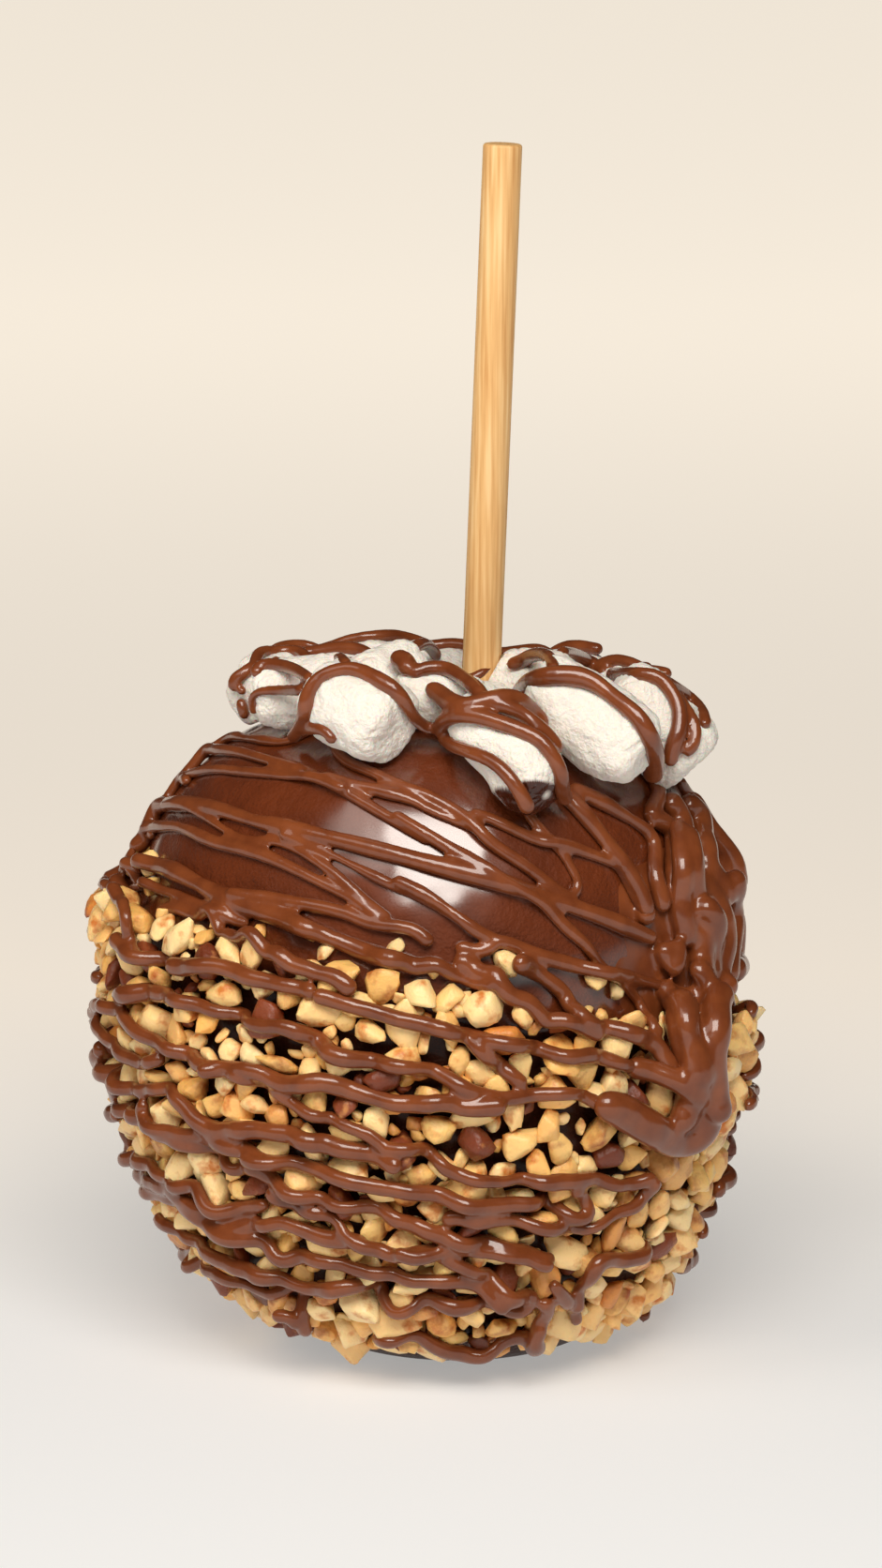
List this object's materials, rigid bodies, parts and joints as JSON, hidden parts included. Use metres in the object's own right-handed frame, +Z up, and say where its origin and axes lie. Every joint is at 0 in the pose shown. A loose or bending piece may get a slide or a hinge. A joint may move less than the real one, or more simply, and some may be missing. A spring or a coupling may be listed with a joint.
{
  "type": "chocolate-coated toffee apple",
  "caption": "Round apple in a chocolate coat on a wooden stick, with a belt of chopped nuts, poured chocolate strands and a crown of small marshmallows.",
  "frame": {"origin": "on the flat foot that the apple rests on, under the middle of the apple", "axes": "+Z up, nearly along the stick, which leans 2.2 degrees towards +X; the front of the picture is at -Y"},
  "size_m": [0.0985, 0.099, 0.1719],
  "materials": {
    "dark_chocolate": "glossy set chocolate coat",
    "milk_chocolate": "satin poured chocolate",
    "nuts": "chopped roasted nuts",
    "marshmallow": "soft matte sugar foam",
    "wood": "smooth bare birch"
  },
  "bodies": {
    "root": {"coated_apple": "milk_chocolate", "marshmallow_01": "marshmallow", "marshmallow_02": "marshmallow", "marshmallow_03": "marshmallow", "marshmallow_04": "marshmallow", "marshmallow_05": "marshmallow", "marshmallow_06": "marshmallow", "marshmallow_07": "marshmallow", "marshmallow_08": "marshmallow", "marshmallow_09": "marshmallow", "marshmallow_10": "marshmallow", "marshmallow_11": "marshmallow", "marshmallow_12": "marshmallow", "marshmallow_13": "marshmallow", "marshmallow_14": "marshmallow", "marshmallow_15": "marshmallow", "marshmallow_16": "marshmallow", "marshmallow_17": "marshmallow", "marshmallow_18": "marshmallow", "marshmallow_19": "marshmallow", "marshmallow_20": "marshmallow", "stick": "wood"}
  },
  "joints": []
}
